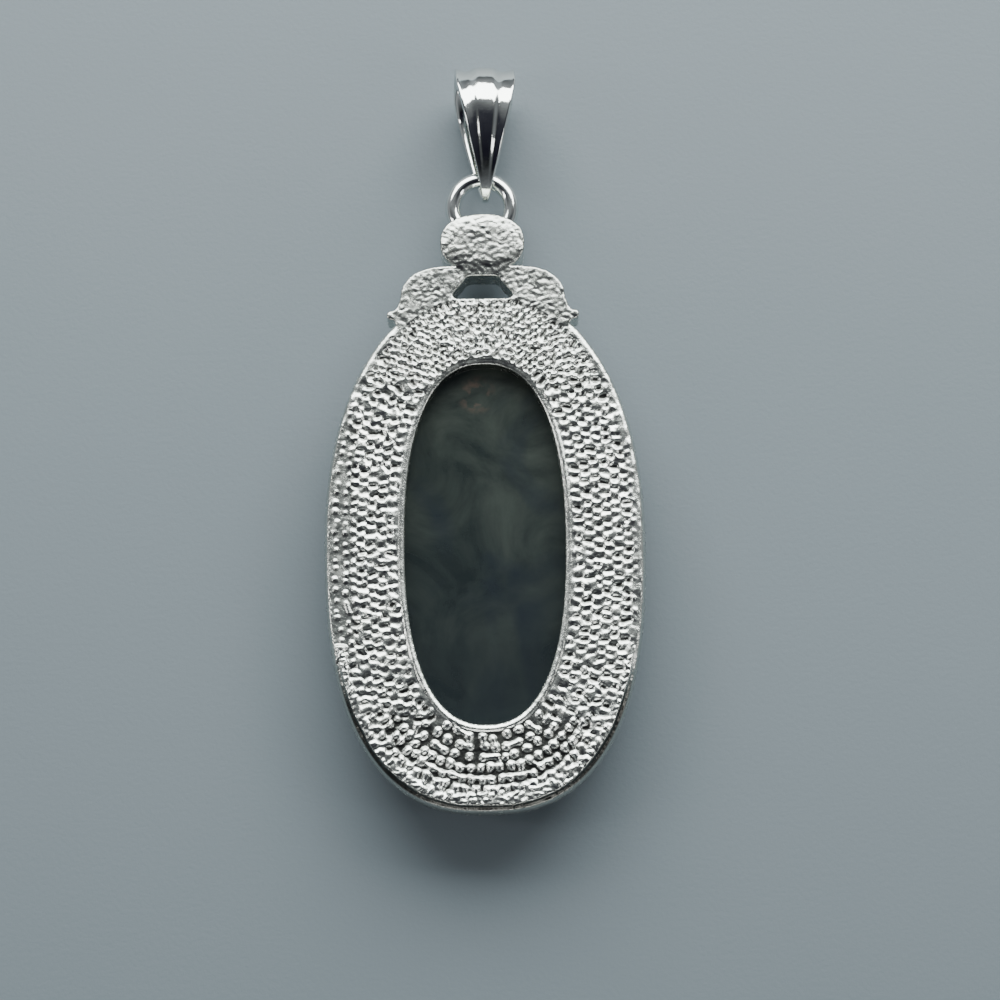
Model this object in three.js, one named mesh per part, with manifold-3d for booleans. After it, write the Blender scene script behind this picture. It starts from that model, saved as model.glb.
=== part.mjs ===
// A stone pendant lying face down: a long oval cabochon in a cast silver-coloured setting.
// Units are millimetres. +Z is the back of the pendant, +Y runs towards the bail, and the floor is z = 0.
import * as THREE from "three";
import { mergeVertices } from "three/addons/utils/BufferGeometryUtils.js";
import Module from "manifold-3d";

// The oval plate. Heights are measured from the floor that the stone lies on.
const plateHalfWidth = 13.3;
const plateTopReach = 21.95;
const plateBottomReach = 22.55;
const plateTopRoundness = 2.2;
const plateBottomRoundness = 2.5;
const backHeight = 7.0;
const edgeRound = 0.28;

// The outer wall bulges by this much between two shares of the way down it.
const wallBulge = 0.26;
const bulgeStart = 0.4;
const bulgeEnd = 0.8;

// The window in the back, and the rows of granulation round it.
const windowHalfWidth = 6.8;
const windowHalfLength = 15.5;
const windowRoundness = 2.4;
const windowDepth = 1.8;
const rimWidth = 0.25;
const rowCount = 7;
const rowDepth = 0.22;
const rowMargin = 0.45;

// Where a row's valley and crest come, as shares of the way across the row.
const valleyShare = 0.2;
const crestShare = 0.65;

// The stone and the bezel that holds it.
const stoneHalfWidth = 11.2;
const girdleHeight = 3.9;
const flatSpotHalfWidth = 2.3;
const stoneBackChamfer = 0.3;
const seatClearance = 0.06;
const lipWall = 0.5;

// The border on the front, between the bezel and the outer wall.
const borderCrestHeight = 2.85;
const borderValleyHeight = 3.6;
const borderEdgeHeight = 3.7;

// The shoulders and their pointed tips. Their lower edge runs into the plate by the overlap.
const shoulderHalfWidth = 6.95;
const shoulderReach = 2.15;
const shoulderWidestShare = 0.36;
const lobeCornerShare = 0.9;
const shoulderThickness = 3.2;
const shoulderRise = 0.08;
const shoulderBevel = 0.15;
const tipHalfWidth = 8.2;
const tipRise = 0.84;
const tipBluntness = 0.35;
const footRise = 0.95;
const footHalfWidth = 7.25;
const notchHalfWidth = 7.4;
const plateOverlap = 1.25;
const curveEase = 0.1;

// The opening between the shoulders. It cuts into the plate's top edge by the bite.
const openingTopHalfWidth = 1.45;
const openingBottomHalfWidth = 2.6;
const openingLength = 2.1;
const openingBite = 0.75;
const openingCorner = 0.5;
const openingSlant = 0.2;

// The boss above the shoulders.
const neckHalfWidth = 2.8;
const bossSink = 0.4;
const bossHalfWidth = 3.6;
const bossHalfLength = 2.5;
const bossRoundness = 2.3;
const bossRise = 0.18;
const bossEdgeRound = 0.35;
const bossSideHeight = 2.9;
const bossFrontHeight = 2.1;
const bossFrontInset = 1.5;
const bossSlopeInset = 0.5;
const bossSlopeShare = 0.4;

// The wire ring, whose lower part sits in the boss.
const ringRadius = 2.51;
const wireRadius = 0.67;
const ringEmbed = 1.65;

// The bail: a fluted strip loop, in its own frame with +Y from its tip to its fold.
const bailLength = 12.2;
const bailWidth = 5.15;
const bailTipWidth = 0.35;
const bailFullWidthLength = 2.4;
const bailInnerHalfDepth = 2.95;
const bailTipBluntness = 1.15;
const foldLength = 3.4;
const leafFullness = 0.6;
const foldShoulder = 0.5;
const foldFullness = 0.55;
const bailRoll = THREE.MathUtils.degToRad(3);
const tipGap = 0.88;
const bailSideShift = 0.3;

// The strip that the bail is bent from: a centre ridge between two flutes, at shares of its half width.
const sheetThickness = 0.45;
const ridgeRise = 0.36;
const ridgeHalfShare = 0.45;
const ridgeSlopeShare = 0.25;
const fluteShare = 0.72;
const edgeRise = 0.22;

// How finely the round forms are cut into flat faces.
const ovalSteps = 72;
const domeSteps = 6;
const bossSteps = 32;
const ringSteps = 36;
const wireSteps = 10;
const bailHalfSteps = 19;
const curveSteps = 5;

const castSilver = new THREE.MeshStandardMaterial({ color: 0xd9dde0, metalness: 1, roughness: 0.25 });
const brightSilver = new THREE.MeshStandardMaterial({ color: 0xe6e9eb, metalness: 1, roughness: 0.1 });
const polishedStone = new THREE.MeshStandardMaterial({ color: 0x38433f, metalness: 0, roughness: 0.25 });

const wasm = await Module();
wasm.setup();

// A closed three.js geometry as a solid that can be joined and cut.
function toSolid(geometry) {
  const bare = geometry.clone();
  bare.deleteAttribute("normal");
  bare.deleteAttribute("uv");
  const merged = mergeVertices(bare);
  const vertProperties = merged.attributes.position.array;
  const triVerts = new Uint32Array(merged.index.array);
  return new wasm.Manifold(new wasm.Mesh({ numProp: 3, vertProperties, triVerts }));
}

// A joined or cut solid as a three.js geometry again.
function toGeometry(solid) {
  const mesh = solid.getMesh();
  const geometry = new THREE.BufferGeometry();
  geometry.setAttribute("position", new THREE.BufferAttribute(mesh.vertProperties, 3));
  geometry.setIndex(new THREE.BufferAttribute(mesh.triVerts, 1));
  return geometry;
}

// Faces over a stack of rings with equal point counts. A looped stack joins its last ring to its first.
function skin(rings, looped) {
  const count = rings[0].length;
  const points = rings.flat();
  const index = [];
  const strips = looped ? rings.length : rings.length - 1;
  for (let strip = 0; strip < strips; strip++) {
    const low = strip * count;
    const high = ((strip + 1) % rings.length) * count;
    for (let i = 0; i < count; i++) {
      const j = (i + 1) % count;
      index.push(low + i, low + j, high + j, low + i, high + j, high + i);
    }
  }
  if (!looped) {
    cap(points, index, 0, count, true);
    cap(points, index, (rings.length - 1) * count, count, false);
  }
  const geometry = new THREE.BufferGeometry().setFromPoints(points);
  geometry.setIndex(index);
  return geometry;
}

// A fan that closes the ring that starts at the given point.
function cap(points, index, start, count, turned) {
  const middle = new THREE.Vector3();
  for (let i = 0; i < count; i++) middle.addScaledVector(points[start + i], 1 / count);
  const centre = points.push(middle) - 1;
  for (let i = 0; i < count; i++) {
    const here = start + i;
    const next = start + ((i + 1) % count);
    index.push(centre, turned ? next : here, turned ? here : next);
  }
}

// One point of an oval at the turn from 0 to 1. A higher roundness makes it squarer.
function ovalPoint(turn, halfWidth, reach, roundness) {
  const c = Math.cos(turn * 2 * Math.PI);
  const s = Math.sin(turn * 2 * Math.PI);
  const scale = (Math.abs(c) ** roundness + Math.abs(s) ** roundness) ** (-1 / roundness);
  return new THREE.Vector2(halfWidth * c * scale, reach * s * scale);
}

function windowPoint(turn) {
  return ovalPoint(turn, windowHalfWidth, windowHalfLength, windowRoundness);
}

function platePoint(turn) {
  const upper = turn <= 0.5;
  const reach = upper ? plateTopReach : plateBottomReach;
  const roundness = upper ? plateTopRoundness : plateBottomRoundness;
  return ovalPoint(turn, plateHalfWidth, reach, roundness);
}

// Where the plate's outer edge runs at a distance x from the middle, on the side of the bail.
function plateEdgeY(x) {
  return plateTopReach * (1 - (x / plateHalfWidth) ** plateTopRoundness) ** (1 / plateTopRoundness);
}

// A ring in the band round the window, at a distance from the window's edge on the widest line.
const bandWidth = plateHalfWidth - windowHalfWidth;

function bandRing(distance, z) {
  const ring = [];
  for (let i = 0; i < ovalSteps; i++) {
    const turn = i / ovalSteps;
    const point = windowPoint(turn).lerp(platePoint(turn), distance / bandWidth);
    ring.push(new THREE.Vector3(point.x, point.y, z));
  }
  return ring;
}

// The stone: a flat back, an upright girdle and a dome that ends in a small flat spot on the floor.
const stoneDistance = stoneHalfWidth - windowHalfWidth;
const stoneBackHeight = backHeight - windowDepth;
const flatAngle = Math.acos(flatSpotHalfWidth / stoneHalfWidth);

function domeHeight(angle) {
  return (girdleHeight * (Math.sin(flatAngle) - Math.sin(angle))) / Math.sin(flatAngle);
}

function stoneRing(scale, z) {
  return bandRing(stoneDistance, z).map((p) => new THREE.Vector3(p.x * scale, p.y * scale, z));
}

function stoneGeometry() {
  const rings = [];
  for (let step = domeSteps; step >= 0; step--) {
    const angle = (flatAngle * step) / domeSteps;
    rings.push(stoneRing(Math.cos(angle), domeHeight(angle)));
  }
  rings.push(stoneRing(1, stoneBackHeight - stoneBackChamfer));
  rings.push(stoneRing(1 - stoneBackChamfer / stoneHalfWidth, stoneBackHeight));
  return skin(rings, false);
}

// The rows of granulation on the back, as low concentric ridges from the window's rim to the margin.
function granulationRings() {
  const rings = [];
  const pitch = (bandWidth - rowMargin - rimWidth) / rowCount;
  for (let row = 0; row < rowCount; row++) {
    const start = rimWidth + row * pitch;
    rings.push(bandRing(start + pitch * valleyShare, backHeight - rowDepth));
    rings.push(bandRing(start + pitch * crestShare, backHeight));
  }
  rings.push(bandRing(bandWidth - rowMargin, backHeight - rowDepth));
  return rings;
}

// The plate's section, walked from the window over the back, down the outer wall and back along the front.
function plateGeometry() {
  const lipAngle = flatAngle / domeSteps;
  const lipHeight = domeHeight(lipAngle);
  const lipInner = stoneDistance - stoneHalfWidth * (1 - Math.cos(lipAngle)) + seatClearance;
  const seatDistance = stoneDistance + seatClearance;
  const seatHeight = stoneBackHeight + seatClearance;
  const valleyDistance = seatDistance + lipWall;
  const crestDistance = (valleyDistance + bandWidth) / 2;
  const wallHeight = backHeight - borderEdgeHeight;
  const rings = [
    bandRing(0, seatHeight),
    bandRing(0, backHeight),
    bandRing(rimWidth, backHeight),
    ...granulationRings(),
    bandRing(bandWidth - edgeRound, backHeight),
    bandRing(bandWidth, backHeight - edgeRound),
    bandRing(bandWidth + wallBulge, backHeight - wallHeight * bulgeStart),
    bandRing(bandWidth + wallBulge, backHeight - wallHeight * bulgeEnd),
    bandRing(bandWidth, borderEdgeHeight),
    bandRing((bandWidth + crestDistance) / 2, (2 * borderCrestHeight + borderEdgeHeight) / 3),
    bandRing(crestDistance, borderCrestHeight),
    bandRing(valleyDistance, borderValleyHeight),
    bandRing(lipInner + lipWall, lipHeight),
    bandRing(lipInner, lipHeight),
    bandRing(seatDistance, girdleHeight),
    bandRing(seatDistance, seatHeight),
  ];
  return skin(rings.reverse(), true);
}

// A slab with bevelled edges between two heights, from a flat outline.
function slabGeometry(shape, low, high, bevel) {
  const geometry = new THREE.ExtrudeGeometry(shape, {
    depth: high - low - 2 * bevel,
    bevelEnabled: bevel > 0,
    bevelThickness: bevel,
    bevelSize: bevel,
    bevelOffset: -bevel,
    bevelSegments: 1,
    steps: 1,
  });
  return geometry.translate(0, 0, low + bevel);
}

// An outline that is the same on both sides of x = 0, from its right half.
function mirroredShape(half) {
  const right = half.getPoints(curveSteps);
  const left = right.filter((p) => p.x > 0).map((p) => new THREE.Vector2(-p.x, p.y));
  return new THREE.Shape([...right, ...left.reverse()]);
}

// Heights along the ornament, each from what carries it: the plate's edge, then the shoulders, then the boss.
const joinY = plateEdgeY(notchHalfWidth);
const tipY = joinY + tipRise;
const shoulderFootY = tipY + footRise;
const shoulderTop = plateTopReach + shoulderReach;
const shoulderY = THREE.MathUtils.lerp(shoulderFootY, shoulderTop, shoulderWidestShare);
const openingBottomY = plateTopReach - openingBite;
const openingTopY = openingBottomY + openingLength;
const bossY = shoulderTop + bossHalfLength - bossSink;

// Two lobes below the neck, each with a pointed leaf tip, ending in an arc inside the plate's edge.
function shoulderShape() {
  const arcTopY = plateTopReach - plateOverlap;
  const arcEndX = notchHalfWidth - plateOverlap / 2;
  const arcEndY = joinY - plateOverlap;
  const lobeCornerX = shoulderHalfWidth * lobeCornerShare;
  const footPullX = shoulderHalfWidth + curveEase;
  const tipPullY = tipY + tipBluntness + curveEase;
  const half = new THREE.Path();
  half.moveTo(0, shoulderTop);
  half.lineTo(neckHalfWidth, shoulderTop);
  half.quadraticCurveTo(lobeCornerX, shoulderTop + curveEase / 2, shoulderHalfWidth, shoulderY);
  half.quadraticCurveTo(footPullX, shoulderFootY + 2 * curveEase, footHalfWidth, shoulderFootY);
  half.quadraticCurveTo(tipHalfWidth - curveEase, tipPullY, tipHalfWidth, tipY);
  half.quadraticCurveTo(notchHalfWidth, tipY - tipBluntness, notchHalfWidth, joinY);
  half.lineTo(arcEndX, arcEndY);
  half.quadraticCurveTo(arcEndX / 2, arcTopY, 0, arcTopY);
  return mirroredShape(half);
}

// The opening between the lobes: narrower towards the boss, with round lower corners.
function openingShape() {
  const half = new THREE.Path();
  half.moveTo(0, openingTopY);
  half.lineTo(openingTopHalfWidth - openingCorner, openingTopY);
  const sideX = openingTopHalfWidth + openingSlant;
  const cornerX = openingBottomHalfWidth - openingCorner;
  half.quadraticCurveTo(openingTopHalfWidth, openingTopY, sideX, openingTopY - openingCorner);
  half.lineTo(openingBottomHalfWidth, openingBottomY + openingCorner);
  half.quadraticCurveTo(openingBottomHalfWidth, openingBottomY, cornerX, openingBottomY);
  half.lineTo(0, openingBottomY);
  return mirroredShape(half);
}

function bossRing(inset, z) {
  const ring = [];
  for (let i = 0; i < bossSteps; i++) {
    const point = ovalPoint(i / bossSteps, bossHalfWidth - inset, bossHalfLength - inset, bossRoundness);
    ring.push(new THREE.Vector3(point.x, bossY + point.y, z));
  }
  return ring;
}

// The boss: a flat back, upright sides and a low dome towards the front.
function bossGeometry() {
  const top = backHeight + bossRise;
  const slopeHeight = THREE.MathUtils.lerp(bossFrontHeight, bossSideHeight, bossSlopeShare);
  const rings = [
    bossRing(bossFrontInset, bossFrontHeight),
    bossRing(bossSlopeInset, slopeHeight),
    bossRing(0, bossSideHeight),
    bossRing(0, top - bossEdgeRound),
    bossRing(bossEdgeRound, top),
  ];
  return skin(rings, false);
}

function ringGeometry(tubeRadius, height) {
  const ringY = bossY + bossHalfLength - ringEmbed + ringRadius + wireRadius;
  const torus = new THREE.TorusGeometry(ringRadius, tubeRadius, wireSteps, ringSteps);
  return torus.translate(0, ringY, height);
}

// Half of the bail's inner outline, from its tip to its fold. x runs along the bail and y is the half depth.
const tipWall = sheetThickness + ridgeRise * (bailTipWidth / bailWidth);
const foldInnerY = bailLength - sheetThickness - ridgeRise;

function bailHalfPath() {
  const widestY = foldInnerY - foldLength;
  const depth = bailInnerHalfDepth;
  const tip = new THREE.Vector2(tipWall, 0);
  const widest = new THREE.Vector2(widestY, depth);
  const fold = new THREE.Vector2(foldInnerY, 0);
  const tipPull = new THREE.Vector2(tipWall, bailTipBluntness);
  const leafPull = new THREE.Vector2(widestY * leafFullness, depth);
  const cornerPull = new THREE.Vector2(widestY + foldLength * foldShoulder, depth);
  const foldPull = new THREE.Vector2(foldInnerY, depth * foldFullness);
  const path = new THREE.CurvePath();
  path.add(new THREE.CubicBezierCurve(tip, tipPull, leafPull, widest));
  path.add(new THREE.CubicBezierCurve(widest, cornerPull, foldPull, fold));
  return path;
}

// How far the sheet's outer face stands off at a share of the half width: a centre ridge between two flutes.
function sheetRise(share) {
  const out = Math.abs(share);
  if (out < ridgeHalfShare) return ridgeRise * Math.cos((out / ridgeHalfShare) * (Math.PI / 2));
  return edgeRise * ((out - ridgeHalfShare) / (1 - ridgeHalfShare));
}

// One cross-section of the strip, with a flat inner face. The side is 1 on the back leaf and -1 on the front.
function bailSection(path, turn, side) {
  const base = path.getPointAt(turn);
  const tangent = path.getTangentAt(turn);
  const taper = Math.min(1, base.x / (bailLength - bailFullWidthLength));
  const halfWidth = THREE.MathUtils.lerp(bailTipWidth, bailWidth, taper) / 2;
  const stand = (2 * halfWidth) / bailWidth;
  const right = [ridgeSlopeShare, ridgeHalfShare, fluteShare, 1];
  const across = [...right.map((share) => -share).reverse(), 0, ...right];
  const place = (share, thickness) => {
    const y = base.x - tangent.y * thickness;
    const z = (base.y + tangent.x * thickness) * side;
    return new THREE.Vector3(share * halfWidth, y, z);
  };
  const outer = across.map((share) => place(share, sheetThickness + sheetRise(share) * stand));
  return [...outer, place(1, 0), place(-1, 0)];
}

function bailGeometry() {
  const path = bailHalfPath();
  const turns = Array.from({ length: bailHalfSteps }, (_, i) => (i + 0.5) / bailHalfSteps);
  const back = turns.map((turn) => bailSection(path, turn, 1));
  const front = turns.map((turn) => bailSection(path, turn, -1));
  return skin([...back, ...front.reverse()], true).rotateY(bailRoll);
}

function namedMesh(name, geometry, material) {
  const mesh = new THREE.Mesh(geometry, material);
  mesh.name = name;
  return mesh;
}

// The bail lies on the floor, so its axis is as high as its rolled form reaches down.
// The ring lies level with that axis.
const bail = namedMesh("bail", bailGeometry(), brightSilver);
bail.geometry.computeBoundingBox();
const linkHeight = -bail.geometry.boundingBox.min.z;
const ringTopInnerY = bossY + bossHalfLength - ringEmbed + 2 * ringRadius;
bail.position.set(bailSideShift, ringTopInnerY - tipGap - tipWall, linkHeight);

const shoulderLow = backHeight + shoulderRise - shoulderThickness;
const shoulders = slabGeometry(shoulderShape(), shoulderLow, backHeight + shoulderRise, shoulderBevel);
const opening = slabGeometry(openingShape(), 0, 2 * backHeight, 0);
const casting = toSolid(plateGeometry())
  .add(toSolid(shoulders))
  .add(toSolid(bossGeometry()))
  .subtract(toSolid(opening))
  .subtract(toSolid(ringGeometry(wireRadius + seatClearance, linkHeight)));

const pendant = new THREE.Group();
pendant.add(namedMesh("setting", toGeometry(casting), castSilver));
pendant.add(namedMesh("labradorite", stoneGeometry(), polishedStone));
pendant.add(namedMesh("jump_ring", ringGeometry(wireRadius, linkHeight), brightSilver));
pendant.add(bail);

// The origin is at the middle of the whole pendant, on the floor.
const extent = new THREE.Box3().setFromObject(pendant);
const middle = extent.getCenter(new THREE.Vector3());
pendant.position.set(-middle.x, -middle.y, -extent.min.z);

export default pendant;
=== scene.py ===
import math

import bpy
import numpy as np
from mathutils import Matrix, Vector
from mathutils.geometry import delaunay_2d_cdt


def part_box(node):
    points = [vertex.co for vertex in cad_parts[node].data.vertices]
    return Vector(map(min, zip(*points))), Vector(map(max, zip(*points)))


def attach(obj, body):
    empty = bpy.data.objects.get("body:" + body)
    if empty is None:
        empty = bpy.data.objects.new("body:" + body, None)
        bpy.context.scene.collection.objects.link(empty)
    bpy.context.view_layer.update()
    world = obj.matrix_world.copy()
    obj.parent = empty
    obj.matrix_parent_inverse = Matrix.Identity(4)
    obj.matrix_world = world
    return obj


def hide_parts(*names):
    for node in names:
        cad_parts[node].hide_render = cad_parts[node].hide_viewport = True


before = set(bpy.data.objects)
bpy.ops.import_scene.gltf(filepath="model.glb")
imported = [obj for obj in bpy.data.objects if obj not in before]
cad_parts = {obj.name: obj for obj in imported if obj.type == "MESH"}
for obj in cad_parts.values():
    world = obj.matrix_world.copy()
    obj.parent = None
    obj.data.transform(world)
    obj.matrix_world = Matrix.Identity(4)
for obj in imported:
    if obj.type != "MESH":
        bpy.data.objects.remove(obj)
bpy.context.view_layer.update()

MM = 0.001
rng = np.random.default_rng(7)


def box_mm(node):
    low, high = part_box(node)
    return np.array(low) / MM, np.array(high) / MM


SETTING_LOW, SETTING_HIGH = box_mm("setting")
STONE_HIGH = box_mm("labradorite")[1]
RING_LOW, RING_HIGH = box_mm("jump_ring")

# The oval plate and its window, in millimetres from the oval's middle, as the solids have them.
WALL_BULGE = 0.26
PLATE_HALF = SETTING_HIGH[0] - WALL_BULGE
PLATE_TOP, PLATE_TOP_ROUND = 21.95, 2.2
PLATE_BOTTOM, PLATE_BOTTOM_ROUND = 22.55, 2.5
WINDOW_HALF, WINDOW_LENGTH, WINDOW_ROUND = 6.8, 15.5, 2.4
BAND = PLATE_HALF - WINDOW_HALF
OVAL_Y = SETTING_LOW[1] + PLATE_BOTTOM + WALL_BULGE * (PLATE_BOTTOM - WINDOW_LENGTH) / BAND
WINDOW_DEPTH = 1.8
BACK = STONE_HIGH[2] + WINDOW_DEPTH
SEAT_GAP = 0.06
SEAT = STONE_HIGH[0] - WINDOW_HALF + SEAT_GAP
LIP_WALL = 0.5
GIRDLE_HEIGHT = 3.9
FLAT_SPOT_HALF = 2.3

# The front border's heights above the floor.
LIP_HEIGHT, VALLEY_HEIGHT, CREST_HEIGHT, EDGE_HEIGHT = 3.07, 3.6, 2.85, 3.7

# The ornament above the oval.
SHOULDER_HALF, SHOULDER_REACH, SHOULDER_THICK = 6.95, 2.15, 3.2
TIP_HALF, TIP_RISE, KNOB, FOOT_RISE = 8.2, 0.84, 0.45, 0.95
NOTCH_HALF, PLATE_OVERLAP = 7.4, 1.25
SIDE_FLARE, FOOT_FLARE, KNOB_FLARE, EAR_SHARE = 0.1, 0.3, 0.4, 0.36
OPEN_TOP_HALF, OPEN_BOTTOM_HALF, OPEN_LENGTH, OPEN_BITE, OPEN_CORNER = 1.45, 2.6, 2.1, 0.75, 0.5
OPEN_LEAN, NECK_HALF, SHOULDER_LIFT = 0.2, 2.8, 0.08
BOSS_HALF, BOSS_LENGTH, BOSS_ROUND, BOSS_SINK = 3.6, 2.5, 2.3, 0.4
BOSS_RISE = 0.18
BOSS_SIDE, BOSS_FRONT = 2.9, 2.1

# The ring and the bail.
WIRE = (RING_HIGH[2] - RING_LOW[2]) / 2 / math.cos(math.pi / 10)
RING_RADIUS = RING_HIGH[0] - WIRE
LINK_HEIGHT = (RING_HIGH[2] + RING_LOW[2]) / 2
BAIL_LENGTH, BAIL_WIDTH, BAIL_TIP_WIDTH, BAIL_FULL = 12.2, 5.15, 0.35, 2.4
BAIL_DEPTH, TIP_BLUNTNESS, FOLD_LENGTH, FOLD_SHOULDER = 2.95, 1.15, 3.4, 0.36
SHEET, RIDGE_RISE, RIDGE_SHARE, EDGE_RISE = 0.45, 0.36, 0.45, 0.3
RIDGE_FLAT, RIDGE_REACH = 0.2, 0.66
BAIL_ROLL = math.radians(3)
TIP_GAP = 0.88
BAIL_SHIFT = 0.3


# Outlines


TURN_COUNT = 1440


def oval_point(turn, half, reach, power):
    c, s = np.cos(turn * 2 * np.pi), np.sin(turn * 2 * np.pi)
    scale = (np.abs(c) ** power + np.abs(s) ** power) ** (-1 / power)
    return np.stack([half * c * scale, reach * s * scale], -1)


def plate_point(turn):
    upper = (np.asarray(turn) % 1.0 <= 0.5)[..., None]
    top = oval_point(turn, PLATE_HALF, PLATE_TOP, PLATE_TOP_ROUND)
    bottom = oval_point(turn, PLATE_HALF, PLATE_BOTTOM, PLATE_BOTTOM_ROUND)
    return np.where(upper, top, bottom)


def window_point(turn):
    return oval_point(turn, WINDOW_HALF, WINDOW_LENGTH, WINDOW_ROUND)


def band_point(turn, distance):
    share = np.asarray(distance)[..., None] / BAND
    return window_point(turn) * (1 - share) + plate_point(turn) * share


def plate_edge_y(x):
    return PLATE_TOP * (1 - (x / PLATE_HALF) ** PLATE_TOP_ROUND) ** (1 / PLATE_TOP_ROUND)


def quadratic(a, pull, b, steps=12):
    t = np.linspace(0, 1, steps + 1)[1:, None]
    a, pull, b = map(np.array, (a, pull, b))
    return (1 - t) ** 2 * a + 2 * t * (1 - t) * pull + t**2 * b


def mirrored(half):
    right = np.vstack(half)
    left = right[right[:, 0] > 1e-9][::-1] * [-1, 1]
    return np.vstack([right, left])


JOIN_Y = plate_edge_y(NOTCH_HALF)
TIP_Y = JOIN_Y + TIP_RISE
FOOT_Y = TIP_Y + FOOT_RISE
SHOULDER_TOP = PLATE_TOP + SHOULDER_REACH
SHOULDER_Y = FOOT_Y + EAR_SHARE * (SHOULDER_TOP - FOOT_Y)
OPEN_BOTTOM_Y = PLATE_TOP - OPEN_BITE
OPEN_TOP_Y = OPEN_BOTTOM_Y + OPEN_LENGTH
BOSS_Y = SHOULDER_TOP + BOSS_LENGTH - BOSS_SINK


def shoulder_outline():
    neck = [NECK_HALF, SHOULDER_TOP]
    ear = [SHOULDER_HALF, SHOULDER_Y]
    foot = [SHOULDER_HALF + FOOT_FLARE, FOOT_Y]
    knob_top = [TIP_HALF - KNOB, TIP_Y + 0.85 * KNOB]
    knob_foot = [TIP_HALF - KNOB * 0.8, TIP_Y - 0.7 * KNOB]
    arc_end = [NOTCH_HALF - PLATE_OVERLAP / 2, JOIN_Y - PLATE_OVERLAP]
    arc_top = PLATE_TOP - PLATE_OVERLAP
    return mirrored([
        [[0, SHOULDER_TOP], neck],
        quadratic(neck, [SHOULDER_HALF * 0.9, SHOULDER_TOP + 0.05], ear),
        quadratic(ear, [SHOULDER_HALF + SIDE_FLARE, FOOT_Y + 0.2], foot, 6),
        quadratic(foot, [SHOULDER_HALF + KNOB_FLARE, knob_top[1]], knob_top, 6),
        quadratic(knob_top, [TIP_HALF, knob_top[1]], [TIP_HALF, TIP_Y], 8),
        quadratic([TIP_HALF, TIP_Y], [TIP_HALF, knob_foot[1]], knob_foot, 8),
        quadratic(knob_foot, [NOTCH_HALF + SIDE_FLARE, knob_foot[1]], [NOTCH_HALF, JOIN_Y], 8),
        [arc_end],
        quadratic(arc_end, [arc_end[0] / 2, arc_top], [0, arc_top]),
    ])


def opening_outline():
    shoulder = [OPEN_TOP_HALF + OPEN_LEAN, OPEN_TOP_Y - OPEN_CORNER]
    top = [OPEN_TOP_HALF - OPEN_CORNER, OPEN_TOP_Y]
    side = [OPEN_BOTTOM_HALF, OPEN_BOTTOM_Y + OPEN_CORNER]
    bottom = [OPEN_BOTTOM_HALF - OPEN_CORNER, OPEN_BOTTOM_Y]
    return mirrored([
        [[0, OPEN_TOP_Y], top],
        quadratic(top, [OPEN_TOP_HALF, OPEN_TOP_Y], shoulder, 6),
        [side],
        quadratic(side, [OPEN_BOTTOM_HALF, OPEN_BOTTOM_Y], bottom, 6),
        [[0, OPEN_BOTTOM_Y]],
    ])


def boss_outline(count):
    return oval_point(np.arange(count) / count, BOSS_HALF, BOSS_LENGTH, BOSS_ROUND) + [0, BOSS_Y]


def run_along(line):
    """The way along a line to each of its points."""
    return np.concatenate([[0], np.cumsum(np.linalg.norm(np.diff(line, axis=0), axis=1))])


def places_at(at, run, line):
    return np.stack([np.interp(at, run, line[:, 0]), np.interp(at, run, line[:, 1])], -1)


def resampled(loop, spacing):
    closed = np.vstack([loop, loop[:1]])
    run = run_along(closed)
    at = np.linspace(0, run[-1], max(12, int(run[-1] / spacing)) + 1)[:-1]
    return places_at(at, run, closed)


def inside_loop(points, loop):
    x, y = points[:, 0], points[:, 1]
    inside = np.zeros(len(points), bool)
    for (x0, y0), (x1, y1) in zip(loop, np.roll(loop, -1, 0)):
        if y0 != y1:
            crosses = (y0 > y) != (y1 > y)
            inside ^= crosses & (x < x0 + (y - y0) * (x1 - x0) / (y1 - y0))
    return inside


def oval_level(points, half, top, bottom, top_power, bottom_power):
    """How far out a point is: below 1 inside the oval, 1 on its edge."""
    x, y = np.abs(points[..., 0]), points[..., 1]
    up = (x / half) ** top_power + (np.abs(y) / top) ** top_power
    down = (x / half) ** bottom_power + (np.abs(y) / bottom) ** bottom_power
    return np.where(y >= 0, up ** (1 / top_power), down ** (1 / bottom_power))


def plate_level(points):
    sizes = (PLATE_HALF, PLATE_TOP, PLATE_BOTTOM, PLATE_TOP_ROUND, PLATE_BOTTOM_ROUND)
    return oval_level(points, *sizes)


def window_level(points):
    return oval_level(points, WINDOW_HALF, WINDOW_LENGTH, WINDOW_LENGTH, WINDOW_ROUND, WINDOW_ROUND)


def distance_out(level, points, step=0.02):
    """Distance outside an oval's edge, from its level and the level's slope."""
    along_x = (level(points + [step, 0]) - level(points - [step, 0])) / (2 * step)
    along_y = (level(points + [0, step]) - level(points - [0, step])) / (2 * step)
    return (level(points) - 1) / np.hypot(along_x, along_y)


def smoothstep(low, high, value):
    t = np.clip((value - low) / (high - low), 0, 1)
    return t * t * (3 - 2 * t)


# Relief of the back, drawn on a fine grid


GRID_STEP = 0.05
GRID_LOW, GRID_HIGH = np.array([-14.3, -23.4]), np.array([14.3, 29.4])
GRID_COUNT = (GRID_HIGH - GRID_LOW) / GRID_STEP
GRID_SHAPE = (int(GRID_COUNT[1]) + 1, int(GRID_COUNT[0]) + 1)
BASE_DROP, BEAD_HEIGHT, WEB_HEIGHT, PIT_DEPTH, GAP_DEPTH = 0.25, 0.24, 0.15, 0.17, 0.4
BEAD_ROUNDNESS = 0.75

# Rows of beads between the window's rim and the plate's edge, and the spacing along a row: the sides and the
# bottom, the separate beads below the window, and the finer net above it.
RIM, MARGIN = 0.45, 0.3
COARSE_ROWS, COARSE_SPACING = 7, 0.84
SPARSE_SPACING = 1.02
FINE_ROWS, FINE_SPACING, FINE_FROM = 11, 0.56, 14.0
ROW_PLACE, ALONG_JITTER, PLACE_JITTER = 0.55, 0.13, 0.075

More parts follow.
